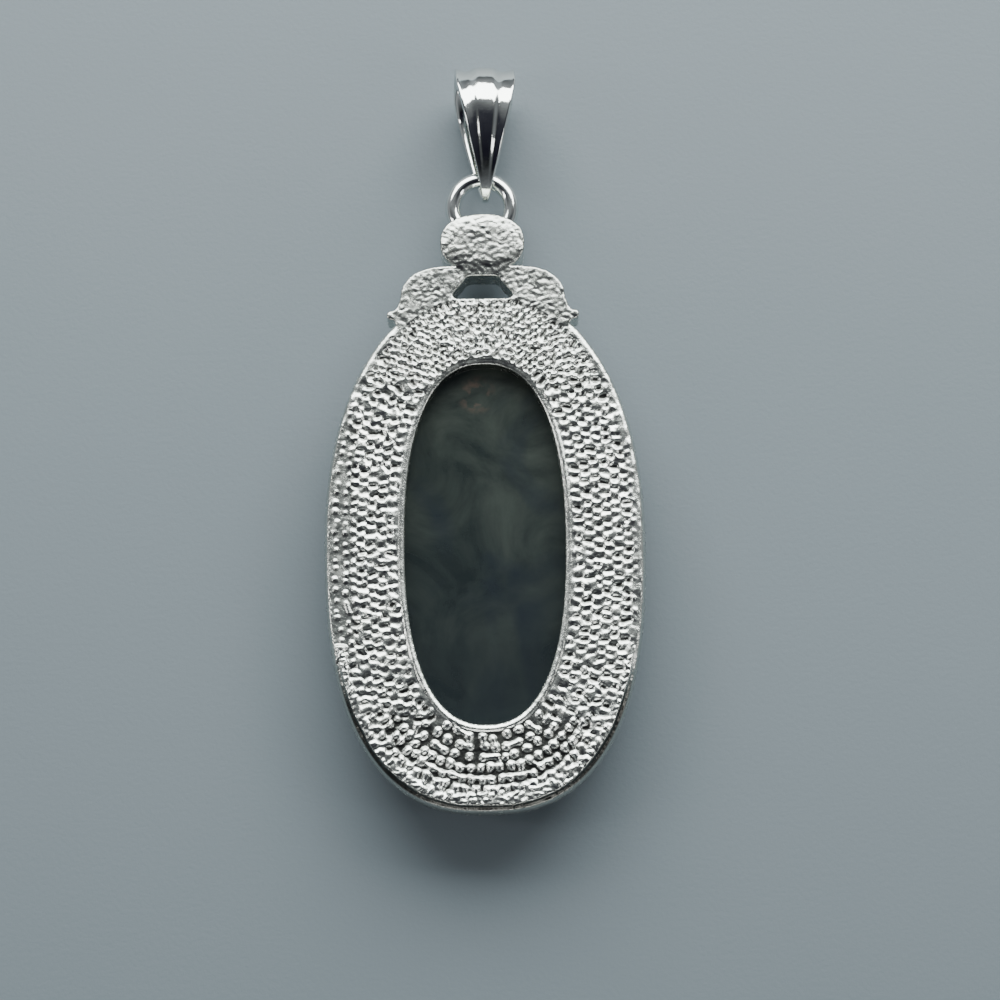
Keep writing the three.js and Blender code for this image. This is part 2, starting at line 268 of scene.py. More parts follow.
# Zones of the back, each with a soft change: nothing at the first value, full at the second. The values are
# y from the oval's middle, or |x| where the name ends in X.
NET_FROM, FULL_NET_FROM, EVEN_NET_FROM, DARKER_NET_FROM = (12, 14), (12, 15), (13, 15), (11, 14)
BROW_FROM, RIDGES_X = (13, 16), (2.5, 4.5)
SIDES_FROM, SIDES_TO, SIDES_X = (-17, -10), (15, 11), (4.5, 7)
BARS_FROM, BARS_X = (-15.5, -17.5), (9.0, 6.0)
LOW_WEB_FROM, LOW_WEB_X = (-13.5, -16.5), (10.0, 7.0)
HEM_FROM, LEDGE_FROM, LOW_RIM_FROM = (-14, -19), (-9, -14), (8, 13)
STRIP_FROM, STRIP_TO, STRIP_X = (-13, -9), (13, 10), (10.6, 11.5)
SEPARATE_BELOW, SEPARATE_X = -15, 8

# The same by distance: shares of the way across the band, then distances from the plate's edge and from the
# window's.
OUTER_ROWS, INNER_ROWS = (0.35, 0.5), 0.5
HEM_WIDTH, GAP_WIDTH, GAP_SHADE_WIDTH = (2.3, 1.4), (0.3, 0.2), (0.4, 0.31)
BEADS_FROM_WINDOW = (0.35, 0.6)

# The web between the beads: how much lower it is at the window's foot, how much higher in the net, and how
# uneven it is.
LOW_WEB_SINK, NET_WEB_RISE = 0.9, 0.5
WEB_LUMPS, NET_SMOOTHER = 0.35, 0.2

# A bead's radius in shares of the spacing, its height in shares of BEAD_HEIGHT, and how far it is drawn out.
BEAD_RADIUS, BEAD_LEVEL, BEAD_LEAN = (0.4, 0.52), (0.72, 1.05), 0.045
STRIP_SHRINK, SEPARATE_SHRINK = 0.2, 0.05
STRIP_SINK, NET_SINK = 0.5, 0.12

# A bar between two beads: its radius in shares of the spacing and its height in shares of the bead's.
BAR_RADIUS, BAR_LEVEL = (0.22, 0.32), (0.6, 0.85)

# The chance of a bar to the nearest and the second nearest bead of the next row, and along the bead's own
# row: anywhere, and what each zone adds.
NEAREST_BAR = {"anywhere": 0.15, "sides": 0.45, "brow": 0.1, "net": 0.3}
SECOND_BAR = {"anywhere": 0.05, "sides": 0.15, "brow": 0.15, "net": 0.3}
ALONG_BAR = {"anywhere": 0.12, "bars": 0.65, "ridges": 0.35}

# A pit's radius in shares of the spacing, its depth in shares of PIT_DEPTH, and how far it strays and is
# drawn out across the rows.
PIT_NARROWEST, PIT_NET_WIDER, PIT_WIDEST = 0.2, 0.1, 0.42
PIT_LEVEL, PIT_NET_DEEPER = (0.4, 1.15), 0.85
PIT_JITTER, PIT_STRETCH = 0.05, 0.3

# Pebbles: half length, radius, middle angle and its spread. How far they stray and how far apart their rows
# lie, in shares of the spacing. Then the spacing and the heights of the two kinds.
PEBBLE_HALF, PEBBLE_RADIUS = (0.02, 0.24), (0.15, 0.23)
PEBBLE_ANGLE, PEBBLE_SPREAD, PEBBLE_JITTER, PEBBLE_ROW = 0.25, 0.9, 0.42, 0.87
HEM_PEBBLES = 0.47, (0.2, 0.31)
ORNAMENT_PEBBLES = 0.44, (0.022, 0.052)

# Where the pebbles lie, by the plate's level (1 on its edge), and the top of the hem.
HEM_LEVELS, HEM_TOP, ORNAMENT_FROM_LEVEL = (0.943, 0.997), -9.0, 0.955

# The rounded rim of the window: its rise above the base at distances from the window's edge.
WINDOW_RIM_AT = [-0.1, 0.0, 0.36, 0.48, 0.6]
WINDOW_RIM_RISE = [0.1, 0.12, 0.25, 0.2, 0.0]
UPPER_RIM_LOWER = 0.55

# The raised line along the plate's edge, and how much further in it lies above the ledge.
EDGE_LINE_AT, EDGE_LINE_WIDTH, EDGE_LINE_RISE, EDGE_LINE_CHANGE = 0.09, 0.07, 0.16, 0.12
LEDGE_WIDTH = 0.33

# How far the base rises on the ornament and the plain strip, and falls at the plate's edge.
ORNAMENT_RISE, STRIP_RISE, EDGE_FALL = 0.18, 0.1, 0.1

# How far the plain zones escape the painted shade: the share of bright metal where nothing is raised, and how
# much darker the ornament and the net are painted.
ORNAMENT_SHARE, STRIP_SHARE = 0.62, 0.72
ORNAMENT_DARKER, NET_DARKER = 0.3, 0.2
# The relief heights over which the painted shade in the hollows gives way to bright metal.
UNSHADED_FROM = (-0.02, 0.13)


def grid_points():
    y, x = np.mgrid[0 : GRID_SHAPE[0], 0 : GRID_SHAPE[1]]
    return np.stack([x, y], -1) * GRID_STEP + GRID_LOW


def stamp(grid, a, b, radius, height):
    """Raises the grid to a rounded bar from a to b, or to a bead where they are the same point."""
    low = np.floor((np.minimum(a, b) - radius - GRID_LOW) / GRID_STEP).astype(int)
    high = np.ceil((np.maximum(a, b) + radius - GRID_LOW) / GRID_STEP).astype(int) + 1
    low = np.maximum(low, 0)
    high = np.minimum(high, [GRID_SHAPE[1], GRID_SHAPE[0]])
    if (high <= low).any():
        return
    x = np.arange(low[0], high[0]) * GRID_STEP + GRID_LOW[0]
    y = np.arange(low[1], high[1]) * GRID_STEP + GRID_LOW[1]
    px, py = np.meshgrid(x, y)
    way = b - a
    length = max(way @ way, 1e-12)
    t = np.clip(((px - a[0]) * way[0] + (py - a[1]) * way[1]) / length, 0, 1)
    away = np.hypot(px - a[0] - t * way[0], py - a[1] - t * way[1]) / radius
    form = height * np.clip(1 - away**2, 0, None) ** BEAD_ROUNDNESS
    view = grid[low[1] : high[1], low[0] : high[0]]
    np.maximum(view, form, out=view)


def blurred(grid, sigma):
    reach = int(3 * sigma / GRID_STEP)
    kernel = np.exp(-0.5 * (np.arange(-reach, reach + 1) * GRID_STEP / sigma) ** 2)
    kernel /= kernel.sum()
    for axis in (0, 1):
        padded = np.pad(grid, [(reach, reach) if axis == a else (0, 0) for a in (0, 1)], mode="edge")
        grid = sum(
            weight * np.take(padded, range(i, i + grid.shape[axis]), axis)
            for i, weight in enumerate(kernel)
        )
    return grid


def smooth_noise(scale):
    """Soft noise from -1 to 1 with blobs about the given size."""
    cells = (np.array(GRID_SHAPE) * GRID_STEP / scale).astype(int) + 4
    coarse = rng.uniform(-1, 1, cells)
    y = np.arange(GRID_SHAPE[0]) * GRID_STEP / scale + 1
    x = np.arange(GRID_SHAPE[1]) * GRID_STEP / scale + 1
    iy, ix = y.astype(int), x.astype(int)
    fy, fx = smoothstep(0, 1, y - iy)[:, None], smoothstep(0, 1, x - ix)[None, :]
    low = coarse[iy][:, ix] * (1 - fx) + coarse[iy][:, ix + 1] * fx
    high = coarse[iy + 1][:, ix] * (1 - fx) + coarse[iy + 1][:, ix + 1] * fx
    return low * (1 - fy) + high * fy


def bead_rows(row_count, spacing):
    """Rows of beads round the window. Each row is an array of places."""
    rows = []
    pitch = (BAND - MARGIN - RIM) / row_count
    turns = np.linspace(0, 1, TURN_COUNT + 1)
    for row in range(row_count):
        line = band_point(turns, np.full(len(turns), RIM + (row + ROW_PLACE) * pitch))
        run = run_along(line)
        count = int(run[-1] / spacing)
        strays = rng.uniform(-ALONG_JITTER, ALONG_JITTER, count)
        at = (np.arange(count) + 0.5 * (row % 2) + strays) * run[-1] / count
        at %= run[-1]
        spots = places_at(at, run, line)
        rows.append(spots + rng.normal(0, PLACE_JITTER, spots.shape))
    return rows


def bar_chances(spot, share):
    """How often a bead joins the two nearest beads one row out, and the next bead in its own row."""
    x, y = abs(spot[0]), spot[1]
    outer = smoothstep(*OUTER_ROWS, share)
    brow = smoothstep(*BROW_FROM, y) * outer
    zones = {
        "anywhere": 1,
        "sides": smoothstep(*SIDES_FROM, y) * smoothstep(*SIDES_X, x) * smoothstep(*SIDES_TO, y),
        "bars": smoothstep(*BARS_FROM, y) * smoothstep(*BARS_X, x) * outer,
        "brow": brow,
        "ridges": brow * smoothstep(*RIDGES_X, x),
        "net": smoothstep(*NET_FROM, y) - brow,
    }
    kinds = (NEAREST_BAR, SECOND_BAR, ALONG_BAR)
    return [sum(chance * zones[zone] for zone, chance in kind.items()) for kind in kinds]


def web_height(points, from_edge):
    """How high the web between the beads is: low near the window's foot, full again at the outer hem."""
    x, y = np.abs(points[..., 0]), points[..., 1]
    low = smoothstep(*LOW_WEB_FROM, y) * smoothstep(*LOW_WEB_X, x)
    hem = smoothstep(*HEM_WIDTH, from_edge) * smoothstep(*HEM_FROM, y)
    net = smoothstep(*FULL_NET_FROM, y)
    return WEB_HEIGHT * (1 - LOW_WEB_SINK * low * (1 - hem) + NET_WEB_RISE * net)


def at_window_foot(spot, share):
    """Whether a bead is one of the separate ones in the rows just below the window."""
    return spot[1] < SEPARATE_BELOW and abs(spot[0]) < SEPARATE_X and share < INNER_ROWS


def in_net(spot, share):
    return spot[1] > FINE_FROM


def elsewhere(spot, share):
    return not in_net(spot, share) and not at_window_foot(spot, share)


def in_left_strip(x, y):
    """How far a spot is in the plain strip along the left edge, from 0 to 1."""
    return smoothstep(*STRIP_X, -x) * smoothstep(*STRIP_FROM, y) * smoothstep(*STRIP_TO, y)


def add_pit(pits, a, b, c, spacing):
    """A pit between three beads, drawn out across the rows."""
    middle = (a + b + c) / 3 + rng.normal(0, PIT_JITTER, 2)
    half = (c - (a + b) / 2) * rng.uniform(0, PIT_STRETCH)
    narrowest = PIT_NARROWEST + PIT_NET_WIDER * smoothstep(*NET_FROM, middle[1])
    radius = spacing * rng.uniform(narrowest, PIT_WIDEST)
    stamp(pits, middle - half, middle + half, radius, rng.uniform(*PIT_LEVEL))


def add_beads(grid, pits, rows, spacing, wanted):
    for row, spots in enumerate(rows):
        share = (row + 0.5) / len(rows)
        for i, spot in enumerate(spots):
            if not wanted(spot, share):
                continue
            separate = at_window_foot(spot, share)
            nearest, second, along = bar_chances(spot, share)
            strip = in_left_strip(*spot)
            beside = spots[(i + 1) % len(spots)]
            smaller = STRIP_SHRINK * strip + SEPARATE_SHRINK * separate
            radius = spacing * (rng.uniform(*BEAD_RADIUS) - smaller)
            level = 1 - STRIP_SINK * strip - NET_SINK * smoothstep(*NET_FROM, spot[1])
            height = BEAD_HEIGHT * rng.uniform(*BEAD_LEVEL) * level
            lean = rng.normal(0, BEAD_LEAN, 2) * (1 - strip)
            stamp(grid, spot - lean, spot + lean, radius, height)
            thin = spacing * rng.uniform(*BAR_RADIUS)
            low = height * rng.uniform(*BAR_LEVEL)
            if rng.uniform() < along:
                stamp(grid, spot, beside, thin, low)
            if row + 1 < len(rows):
                others = rows[row + 1]
                near = others[np.argsort(np.linalg.norm(others - spot, axis=1))[:2]]
                if strip < 0.5 and not separate:
                    middle = others[np.argmin(np.linalg.norm(others - (spot + beside) / 2, axis=1))]
                    add_pit(pits, spot, beside, middle, spacing)
                for other, chance in zip(near, (nearest, second)):
                    if rng.uniform() < chance * (1 - in_left_strip(*other)):
                        stamp(grid, spot, other, thin, low)


def add_granulation(grid, pits):
    coarse = bead_rows(COARSE_ROWS, COARSE_SPACING)
    sparse = bead_rows(COARSE_ROWS, SPARSE_SPACING)
    fine = bead_rows(FINE_ROWS, FINE_SPACING)
    add_beads(grid, pits, sparse, COARSE_SPACING, at_window_foot)
    add_beads(grid, pits, fine, FINE_SPACING, in_net)
    add_beads(grid, pits, coarse, COARSE_SPACING, elsewhere)


def add_pebbles(grid, low, high, inside, spacing, heights):
    """Short worm-like pebbles at random angles, in one zone of the back."""
    for y in np.arange(low[1], high[1], spacing * PEBBLE_ROW):
        for x in np.arange(low[0], high[0], spacing):
            spot = np.array([x, y]) + rng.uniform(-PEBBLE_JITTER, PEBBLE_JITTER, 2) * spacing
            turn = rng.normal(PEBBLE_ANGLE, PEBBLE_SPREAD)
            half = np.array([math.cos(turn), math.sin(turn)]) * rng.uniform(*PEBBLE_HALF)
            radius = rng.uniform(*PEBBLE_RADIUS)
            height = rng.uniform(*heights)
            if inside(spot[None])[0]:
                stamp(grid, spot - half, spot + half, radius, height)


SHOULDERS = shoulder_outline()
OPENING = opening_outline()
BOSS = boss_outline(160)


def boss_level(points):
    shifted = points - [0, BOSS_Y]
    return oval_level(shifted, BOSS_HALF, BOSS_LENGTH, BOSS_LENGTH, BOSS_ROUND, BOSS_ROUND)


def on_ornament(points):
    beyond = plate_level(points) > ORNAMENT_FROM_LEVEL
    return (inside_loop(points, SHOULDERS) | (boss_level(points) < 1)) & beyond


def on_hem(points):
    """The fused strip along the plate's lower edge."""
    inner, outer = HEM_LEVELS
    return (plate_level(points) > inner) & (plate_level(points) < outer)


def ornament_share(flat, from_edge):
    """How far each spot of the grid belongs to the ornament, from 0 to 1."""
    slab = blurred(inside_loop(flat, SHOULDERS).reshape(GRID_SHAPE).astype(float), 0.25)
    on_slab = smoothstep(0.15, 0.85, slab) * smoothstep(0.9, 0.4, from_edge)
    return np.maximum(on_slab, smoothstep(0.05, -0.15, from_edge))


def granulated(points, from_edge, strip):
    """The beads, the web between them, its pits and the lumps of the hem."""
    granules, pits = np.zeros(GRID_SHAPE), np.zeros(GRID_SHAPE)
    add_granulation(granules, pits)
    lumps = WEB_LUMPS - NET_SMOOTHER * smoothstep(*EVEN_NET_FROM, points[..., 1])
    web = web_height(points, from_edge) * (1 + lumps * smooth_noise(0.6)) * (1 - strip)
    granules = np.maximum(granules, web)
    granules -= PIT_DEPTH * pits * (1 + PIT_NET_DEEPER * smoothstep(*NET_FROM, points[..., 1]))
    hem = np.zeros(GRID_SHAPE)
    add_pebbles(hem, [-PLATE_HALF, -PLATE_BOTTOM], [PLATE_HALF, HEM_TOP], on_hem, *HEM_PEBBLES)
    return np.maximum(granules, hem)


def back_relief():
    """Two grids: the height of the back above the floor, and the share of bright metal at each spot, the rest
    painted shade (0 in hollows, 1 raised).
    """
    points = grid_points()
    y = points[..., 1]
    flat = points.reshape(-1, 2)
    from_window = distance_out(window_level, flat).reshape(GRID_SHAPE)
    from_edge = -distance_out(plate_level, flat).reshape(GRID_SHAPE)
    boss = boss_level(flat).reshape(GRID_SHAPE)
    ornament = ornament_share(flat, from_edge)
    strip = in_left_strip(points[..., 0], y)
    ledge = smoothstep(*LEDGE_FROM, y)

    granules = granulated(points, from_edge, strip)
    pebbles = np.zeros(GRID_SHAPE)
    ornament_high = [SHOULDERS[:, 0].max(), BOSS[:, 1].max()]
    add_pebbles(pebbles, SHOULDERS.min(0), ornament_high, on_ornament, *ORNAMENT_PEBBLES)
    relief = granules * smoothstep(*BEADS_FROM_WINDOW, from_window) * (1 - ornament) + pebbles * ornament

    edge_line = np.exp(-(((from_edge - EDGE_LINE_AT - LEDGE_WIDTH * ledge) / EDGE_LINE_WIDTH) ** 2))
    edge_line *= EDGE_LINE_RISE + EDGE_LINE_CHANGE * smooth_noise(0.7)
    relief = np.maximum(relief, edge_line * (1 - ornament))
    rim_share = 1 - UPPER_RIM_LOWER * smoothstep(*LOW_RIM_FROM, y)
    relief = np.maximum(relief, np.interp(from_window, WINDOW_RIM_AT, WINDOW_RIM_RISE) * rim_share)
    relief = blurred(relief, 0.04)

    base = np.full(GRID_SHAPE, BACK - BASE_DROP)
    base += 0.02 * smooth_noise(2.2) + 0.012 * smooth_noise(0.5) + STRIP_RISE * strip
    base += ORNAMENT_RISE * ornament - EDGE_FALL * smoothstep(0.3, 0.0, from_edge) * (1 - ornament)
    base += BOSS_RISE * smoothstep(1.25, 0.55, boss)
    ragged_edge = from_edge - 0.05 * smooth_noise(1.5)
    gap = ledge * smoothstep(*GAP_WIDTH, ragged_edge)
    height = base + relief * (1 - gap) - GAP_DEPTH * gap + 0.006 * smooth_noise(0.22)

    # Painted shade: plain zones keep a set share of bright metal, and the ornament and the net are painted
    # darker than the same silver elsewhere.
    plain = np.maximum(ORNAMENT_SHARE * ornament, STRIP_SHARE * strip)
    net = smoothstep(*DARKER_NET_FROM, y) * (1 - ornament)
    brightest = 1 - ORNAMENT_DARKER * ornament - NET_DARKER * net
    # Painted shade: low relief (gaps, pits and web) gets a small share of bright metal, so it is drawn
    # near-black.
    unshaded = np.maximum(smoothstep(*UNSHADED_FROM, relief) * brightest, plain)
    # Painted shade in the groove along the plate's lower edge: the metal there is darkened beyond what the
    # groove's depth gives.
    gap_shade = ledge * smoothstep(*GAP_SHADE_WIDTH, ragged_edge)
    return height, unshaded * (1 - gap_shade)


def sampled(grid, points):
    at = (points - GRID_LOW) / GRID_STEP
    at = np.clip(at, 0, np.array([GRID_SHAPE[1], GRID_SHAPE[0]]) - 1.001)
    ix, iy = at[:, 0].astype(int), at[:, 1].astype(int)
    fx, fy = at[:, 0] - ix, at[:, 1] - iy
    low = grid[iy, ix] * (1 - fx) + grid[iy, ix + 1] * fx
    high = grid[iy + 1, ix] * (1 - fx) + grid[iy + 1, ix + 1] * fx
    return low * (1 - fy) + high * fy


# Flat regions cut into triangles


# The spacing of mesh points: along the edges, over the back, over the front, and on the front's own lines.
# Then how far the other points stay from those lines.
EDGE_SPACING, BACK_SPACING, FRONT_SPACING, LINE_SPACING = 0.13, 0.113, 0.26, 0.3
CLEAR_GAP = 0.07


def triangulate(points, edges):
    verts = [Vector(p) for p in points.tolist()]
    out = delaunay_2d_cdt(verts, edges, [], 0, 1e-7)
    return np.array([v[:] for v in out[0]]), np.array(out[2])


def loop_edges(loops):
    edges, start = [], 0
    for loop in loops:
        count = len(loop)
        edges += [(start + i, start + (i + 1) % count) for i in range(count)]
        start += count
    return edges


def in_setting(points):
    inside = (plate_level(points) < 1) | inside_loop(points, SHOULDERS) | (boss_level(points) < 1)
    return inside & (window_level(points) > 1) & ~inside_loop(points, OPENING)


def boundary_loops(faces):
    """Chains the edges that only one face uses, each in the direction of its face."""
    follow = {}
    directed = {(int(a), int(b)) for f in faces for a, b in ((f[0], f[1]), (f[1], f[2]), (f[2], f[0]))}
    for a, b in directed:
        if (b, a) not in directed:
            follow[a] = b
    loops = []
    while follow:
        first = next(iter(follow))
        loop, here = [], first
        while here in follow:
            loop.append(here)
            here = follow.pop(here)
        loops.append(loop)
    return sorted(loops, key=len, reverse=True)


def setting_loops(spacing):
    """The joined outline of plate, shoulders and boss, then the window, then the opening."""
    turns = np.linspace(0, 1, 2401)[:-1]
    plate = resampled(plate_point(turns), spacing)
    window = resampled(window_point(turns), spacing)
    raw = [plate, resampled(SHOULDERS, spacing), resampled(BOSS, spacing), window]
    raw.append(resampled(OPENING, spacing))
    points, faces = triangulate(np.vstack(raw), loop_edges(raw))
    kept = faces[in_setting(points[faces].mean(1))]
    loops = [points[loop] for loop in boundary_loops(kept)]
    return [resampled(loop, spacing) for loop in loops[:3]]


def hex_points(low, high, spacing, turn=0.3):
    """A hexagonal net over a box, turned so that its rows don't run along the outline."""
    reach = np.linalg.norm(high - low) / 2
    rows = []
    for i, y in enumerate(np.arange(-reach, reach, spacing * math.sqrt(3) / 2)):
        x = np.arange(-reach + (i % 2) * spacing / 2, reach, spacing)
        rows.append(np.stack([x, np.full(len(x), y)], -1))
    c, s = math.cos(turn), math.sin(turn)
    points = np.vstack(rows) @ np.array([[c, s], [-s, c]]) + (low + high) / 2
    return points[(points > low).all(1) & (points < high).all(1)]


def clear_of(points, lines, gap):
    """The points that are further than the gap from every vertex of the lines."""
    cells = set()
    for x, y in np.floor(lines / gap).astype(int).tolist():
        cells.update((x + i, y + j) for i in (-1, 0, 1) for j in (-1, 0, 1))
    keys = np.floor(points / gap).astype(int).tolist()
    return points[[tuple(k) not in cells for k in keys]]


def filled(loops, inner, extra=()):
    """Triangles over the region between the loops, with inner points and extra closed lines."""
    lines = list(loops) + list(extra)
    count = sum(len(loop) for loop in loops)
    inner = inner[in_setting(inner)]
    inner = clear_of(inner, np.vstack(lines), CLEAR_GAP)
    points, faces = triangulate(np.vstack(lines + [inner]), loop_edges(lines))
    rim_only = (faces < count).all(1)
    keep = ~rim_only
    keep[rim_only] = in_setting(points[faces[rim_only]].mean(1))
    return points, faces[keep]


# The setting's mesh


def band_distance(points, rings=32, angles=720):
    """How far across the band a point is, in the measure of band_point."""
    turns = np.linspace(0, 1, TURN_COUNT + 1)[:-1]
    at_angle = np.linspace(-np.pi, np.pi, angles + 1)
    radii = []
    for distance in np.linspace(0, BAND, rings + 1):
        x, y = band_point(turns, np.full(len(turns), distance)).T
        radii.append(np.interp(at_angle, np.arctan2(y, x), np.hypot(x, y), period=2 * np.pi))
    x, y = points.T
    place = np.clip((np.arctan2(y, x) + np.pi) / (2 * np.pi) * angles, 0, angles - 1e-6)
    before = place.astype(int)
    part = place - before
    near = np.array(radii)[:, before] * (1 - part) + np.array(radii)[:, before + 1] * part
    radius = np.hypot(x, y)
    ring = np.clip((near <= radius).sum(0) - 1, 0, rings - 1)
    each = np.arange(len(points))
    inner, outer = near[ring, each], near[ring + 1, each]
    return (ring + (radius - inner) / (outer - inner)) / rings * BAND


# The front's profile across the band: distances from the window's edge and heights above the floor.
FRONT_VALLEY = SEAT + LIP_WALL
FRONT_CREST = (FRONT_VALLEY + BAND) / 2
FRONT_STOPS = [
    (SEAT - 0.02, STONE_HIGH[2] + SEAT_GAP), (SEAT, LIP_HEIGHT + 0.08), (SEAT + 0.08, LIP_HEIGHT),
    (FRONT_VALLEY - 0.16, LIP_HEIGHT), (FRONT_VALLEY - 0.06, LIP_HEIGHT + 0.06),
    (FRONT_VALLEY, VALLEY_HEIGHT), (FRONT_VALLEY + 0.04, VALLEY_HEIGHT - 0.06),
    (FRONT_VALLEY + 0.18, CREST_HEIGHT + 0.3), (FRONT_CREST - 0.35, CREST_HEIGHT + 0.09),
    (FRONT_CREST, CREST_HEIGHT),
    (FRONT_CREST + 0.45, CREST_HEIGHT + 0.12), (FRONT_CREST + 0.8, CREST_HEIGHT + 0.35), (BAND, EDGE_HEIGHT),
]


def front_height(points):
    """Height above the floor of the setting's front, which faces down."""
    edge = -distance_out(plate_level, points)
    plate = np.interp(band_distance(points), *zip(*FRONT_STOPS))
    shoulder = np.full(len(points), BACK + SHOULDER_LIFT - SHOULDER_THICK)
    boss = boss_level(points)
    dome = BOSS_SIDE - (BOSS_SIDE - BOSS_FRONT) * np.sqrt(np.clip(1 - boss**2, 0, 1))
    ornament = np.where(boss < 1, np.minimum(dome, shoulder), shoulder)
    inside = edge > 0
    slab = inside_loop(points, SHOULDERS)
    return np.where(inside, np.where(slab, np.minimum(plate, shoulder), plate), ornament)


# The walls between back and front: their steps, where they are the plate's own edge (by how far its level
# is from 1), the form of the bulge there, and the share of bright metal on the walls and the front, the rest
# painted shade.
WALL_STEPS = 8
ON_PLATE = (0.004, 0.0005)
BULGE_TURN, BULGE_FULLNESS = 1.15, 1.25
WALL_UNSHADED = 0.75


def wall_rings(loop, top, low):
    """Rings between the back and the front round one loop, with the plate's outer wall bulging."""
    onto_plate = smoothstep(*ON_PLATE, np.abs(plate_level(loop) - 1))
    ahead = np.roll(loop, -1, 0) - np.roll(loop, 1, 0)
    outward = np.stack([ahead[:, 1], -ahead[:, 0]], -1)
    outward /= np.linalg.norm(outward, axis=1)[:, None]
    rings = []
    for step in range(1, WALL_STEPS):
        t = step / WALL_STEPS
        swell = WALL_BULGE * min(1.0, math.sin(math.pi * min(t * BULGE_TURN, 1)) * BULGE_FULLNESS)
        places = loop + outward * (onto_plate * swell)[:, None]
        rings.append(np.column_stack([places, top + (low - top) * t]))
    return rings


def mesh_object(name, verts, faces):
    mesh = bpy.data.meshes.new(name)
    mesh.from_pydata((np.asarray(verts) * MM).tolist(), [], [tuple(map(int, f)) for f in faces])
    mesh.validate()
    mesh.shade_smooth()
    obj = bpy.data.objects.new(name, mesh)
    bpy.context.scene.collection.objects.link(obj)
    return obj


def make_setting():
    height, unshaded = back_relief()
    loops = setting_loops(EDGE_SPACING)
    low, high = loops[0].min(0), loops[0].max(0)
    back_points, back_faces = filled(loops, hex_points(low, high, BACK_SPACING))
    turns = np.linspace(0, 1, 1201)[:-1]
    clear_of_opening = (OPEN_BOTTOM_Y - WINDOW_LENGTH) / (PLATE_TOP - WINDOW_LENGTH) * BAND - 0.1
    inner_stops = [distance for distance, _ in FRONT_STOPS if distance < clear_of_opening]
    lines = [band_point(turns, np.full(len(turns), distance)) for distance in inner_stops]
    lines = [resampled(line, LINE_SPACING) for line in lines]
    fine = hex_points(low, high, FRONT_SPACING)
    fine = fine[distance_out(window_level, fine) > FRONT_VALLEY + 0.2]
    front_points, front_faces = filled(loops, fine, lines)
    back_z = sampled(height, back_points)
    front_z = front_height(front_points)
    verts = [np.column_stack([back_points, back_z]), np.column_stack([front_points, front_z])]
    offset = len(back_points)
    faces = [back_faces, front_faces[:, ::-1] + offset]
    start = 0
    total = offset + len(front_points)
    for loop in loops:
        count = len(loop)
        rows = [np.arange(start, start + count)]
        for ring in wall_rings(loop, back_z[rows[0]], front_z[rows[0]]):
            verts.append(ring)
            rows.append(np.arange(total, total + count))
            total += count
        rows.append(np.arange(offset + start, offset + start + count))
        for upper, lower in zip(rows, rows[1:]):
            faces.append(np.stack([upper, lower, np.roll(lower, -1)], -1))
            faces.append(np.stack([upper, np.roll(lower, -1), np.roll(upper, -1)], -1))
        start += count
    verts = np.vstack(verts) + [0, OVAL_Y, 0]
    obj = mesh_object("setting_detailed", verts, np.vstack(faces))
    # The share of bright metal at each point, the rest painted shade: the front and walls get one share, the
    # back its own grid.
    shade = np.full(len(verts), WALL_UNSHADED)
    shade[:offset] = sampled(unshaded, back_points)
    attribute = obj.data.attributes.new("unshaded", "FLOAT", "POINT")
    attribute.data.foreach_set("value", shade)
    return obj


def add_material(obj, material):
    obj.data.materials.clear()
    obj.data.materials.append(material)


def lofted(name, rings, looped):
    """A smooth mesh over rings with equal point counts, closed by joining the ends or by caps."""
    count = len(rings[0])
    verts = np.vstack(rings)
    strips = len(rings) if looped else len(rings) - 1
    faces = []
    for strip in range(strips):
        a, b = strip * count, (strip + 1) % len(rings) * count
        faces += [(a + i, a + (i + 1) % count, b + (i + 1) % count, b + i) for i in range(count)]
    if not looped:
        faces.append(tuple(range(count))[::-1])
        faces.append(tuple(range((len(rings) - 1) * count, len(rings) * count)))
    return mesh_object(name, verts, faces)


def ring_rings(tube, around=120, section=24):
    """Sections round the wire ring, level with the bail's axis."""
    middle = [0, (RING_LOW[1] + RING_HIGH[1]) / 2, LINK_HEIGHT]
    rings = []
    for i in range(around):
        turn = 2 * math.pi * i / around
        side = np.arange(section) * 2 * math.pi / section
        out = RING_RADIUS + tube * np.cos(side)
        places = [math.cos(turn) * out, math.sin(turn) * out, tube * np.sin(side)]
        rings.append(np.stack(places, -1) + middle)
    return rings


def cut_ring_channel(setting):
    """Leaves the channel in the boss that the ring passes through."""
    channel = lofted("channel", ring_rings(WIRE + SEAT_GAP), True)
    cut = setting.modifiers.new("channel", "BOOLEAN")
    cut.operation, cut.solver, cut.object = "DIFFERENCE", "MANIFOLD", channel
    graph = bpy.context.evaluated_depsgraph_get()
    made = bpy.data.meshes.new_from_object(setting.evaluated_get(graph))
    setting.modifiers.clear()
    setting.data = made
    bpy.data.objects.remove(channel)


# The bail


def cubic(a, b, c, d, count):
    t = np.linspace(0, 1, count)[:, None]
    a, b, c, d = map(np.array, (a, b, c, d))
    return (1 - t) ** 3 * a + 3 * t * (1 - t) ** 2 * b + 3 * t**2 * (1 - t) * c + t**3 * d


# How far the inner outline's curves are pulled out, how the ridge and the flutes fade towards the narrow tip,
# and how soft the strip's long edges are.
LEAF_PULL, FOLD_PULL = 0.6, 0.55
RIDGE_BOW, RISE_POWER, FLAT_TIP = 0.06, 1.3, (0.12, 0.5)
EDGE_ROUND, EDGE_ROUND_SHARE, INNER_CHAMFER = 0.14, 0.85, 0.08
TIP_WALL = SHEET + RIDGE_RISE * BAIL_TIP_WIDTH / BAIL_WIDTH
FOLD_INNER = BAIL_LENGTH - SHEET - RIDGE_RISE


